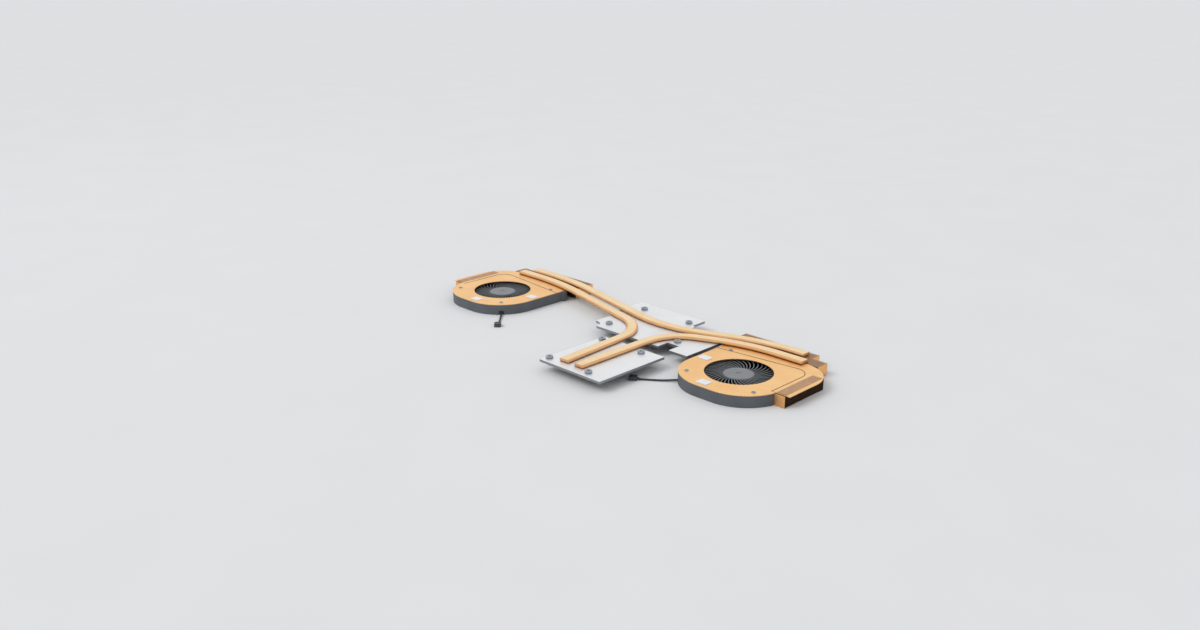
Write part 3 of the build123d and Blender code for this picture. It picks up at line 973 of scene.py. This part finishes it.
def screw(tip, ridge, body, recess):
    """Rings of a whole screw, from its tip to the floor of its recess, from sizes in millimetres.

    Tip and body are radii and heights, the ridge of the thread is a radius and two heights, and the
    recess is half lengths, half widths and heights.
    """
    rings = [circle(radius * mm, height * mm) for radius, height in tip]
    rings += thread(*[size * mm for size in ridge])
    rings += [circle(radius * mm, height * mm) for radius, height in body]
    return rings + [cross(*[size * mm for size in level]) for level in recess]


def screw_set(name, node, rings, places):
    """The piece that stands for a node of like screws, with one screw at each place in plan."""
    skins = []
    for at_x, at_y in places:
        skins.append(rings_mesh([[(x + at_x, y + at_y, z) for x, y, z in ring] for ring in rings]))
    screws = new_piece(name, *joined(skins), [screw_steel], "heatsink")
    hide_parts(node)


cover_screw_body = cover_screw_neck + cover_screw_head
cover_screw = screw(cover_screw_tip, cover_screw_thread, cover_screw_body, cover_screw_recess)
for side, (axis_x, axis_y, sign) in fan_axes.items():
    places = [(axis_x + sign * x, axis_y + y) for x, y in cover_screw_places]
    screw_set(f"{side}_cover_screw_set", f"{side}_cover_screws", cover_screw, places)


# Captive screws, washers and clips
# Four shouldered steel screws hold each base plate. A cone washer presses under every head,
# and a clip in the groove below the plate keeps the screw from falling out.
captive_screw_places = {
    "front": [(14.2, -53.85), (14.2, -12.85), (44.7, -53.85), (44.7, -12.85)],
    "rear": [(-2.3, 9.65), (-5.4, 44.25), (30.9, 44.15), (47.7, 14.45)],
}
captive_screw_tip = [(0.55, 2.35), (0.7, 2.5)]
captive_screw_thread = (0.8, 2.5, 4.4)
captive_screw_collar = [(0.72, 4.45), (1.2, 4.45), (1.3, 4.55), (1.3, 4.8)]
captive_screw_groove = [(1.05, 4.8), (1.05, 5.3)]
captive_screw_shoulder = [(1.3, 5.3), (1.3, 7.15)]
captive_screw_head = [(2.02, 7.15), (2.1, 7.23), (2.1, 7.84), (2.02, 7.97), (1.85, 8.05)]
captive_screw_recess = [(1.2, 0.25, 8.05), (0.9, 0.19, 7.6)]
spring_steel = surface(
    "spring_steel",
    dark="#8b9096",
    light="#a0a6ac",
    drift=1.5 * mm,
    rough=(0.2, 0.34),
    grain=0.08 * mm,
    depth=0.002 * mm,
    metal=1.0,
)
captive_screw_body = captive_screw_collar + captive_screw_groove
captive_screw_body += captive_screw_shoulder + captive_screw_head
captive_screw = screw(
    captive_screw_tip,
    captive_screw_thread,
    captive_screw_body,
    captive_screw_recess,
)
for plate, corners in captive_screw_places.items():
    places = [(x * mm, y * mm) for x, y in corners]
    screw_set(f"{plate}_captive_screw_set", f"{plate}_captive_screws", captive_screw, places)
    paint(spring_steel, f"{plate}_spring_washers", f"{plate}_retaining_clips")


# Foam pads
# Small pieces of pale open foam with soft edges, stuck on the covers with glue. They press
# against the case of the laptop.
pad_corner = 0.35 * mm
pad_rings = [(0.06 * mm, 0.0), (0.0, 0.35), (0.02 * mm, 0.7), (0.12 * mm, 0.95), (0.3 * mm, 1.0)]
pad_corner_points = 5
foam_grey = surface(
    "foam_grey",
    dark="#cbccce",
    light="#dadbdd",
    drift=1 * mm,
    rough=(0.85, 0.95),
    grain=0.14 * mm,
    depth=0.06 * mm,
)
for side in fan_axes:
    for kind in ("side", "front"):
        low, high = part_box(f"{side}_{kind}_pad")
        rings = []
        left, right = low.x + pad_corner, high.x - pad_corner
        near, far = low.y + pad_corner, high.y - pad_corner
        corners = [(right, far), (left, far), (left, near), (right, near)]
        for inset, level in pad_rings:
            ring = []
            reach = pad_corner - inset
            height = low.z + (high.z - low.z) * level
            for quarter, (x, y) in enumerate(corners):
                for step in range(pad_corner_points):
                    turn = pi / 2 * (quarter + step / (pad_corner_points - 1))
                    ring.append((x + reach * cos(turn), y + reach * sin(turn), height))
            rings.append(ring)
        pad = new_piece(f"{side}_{kind}_foam", *rings_mesh(rings), [foam_grey], "heatsink")
        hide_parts(f"{side}_{kind}_pad")
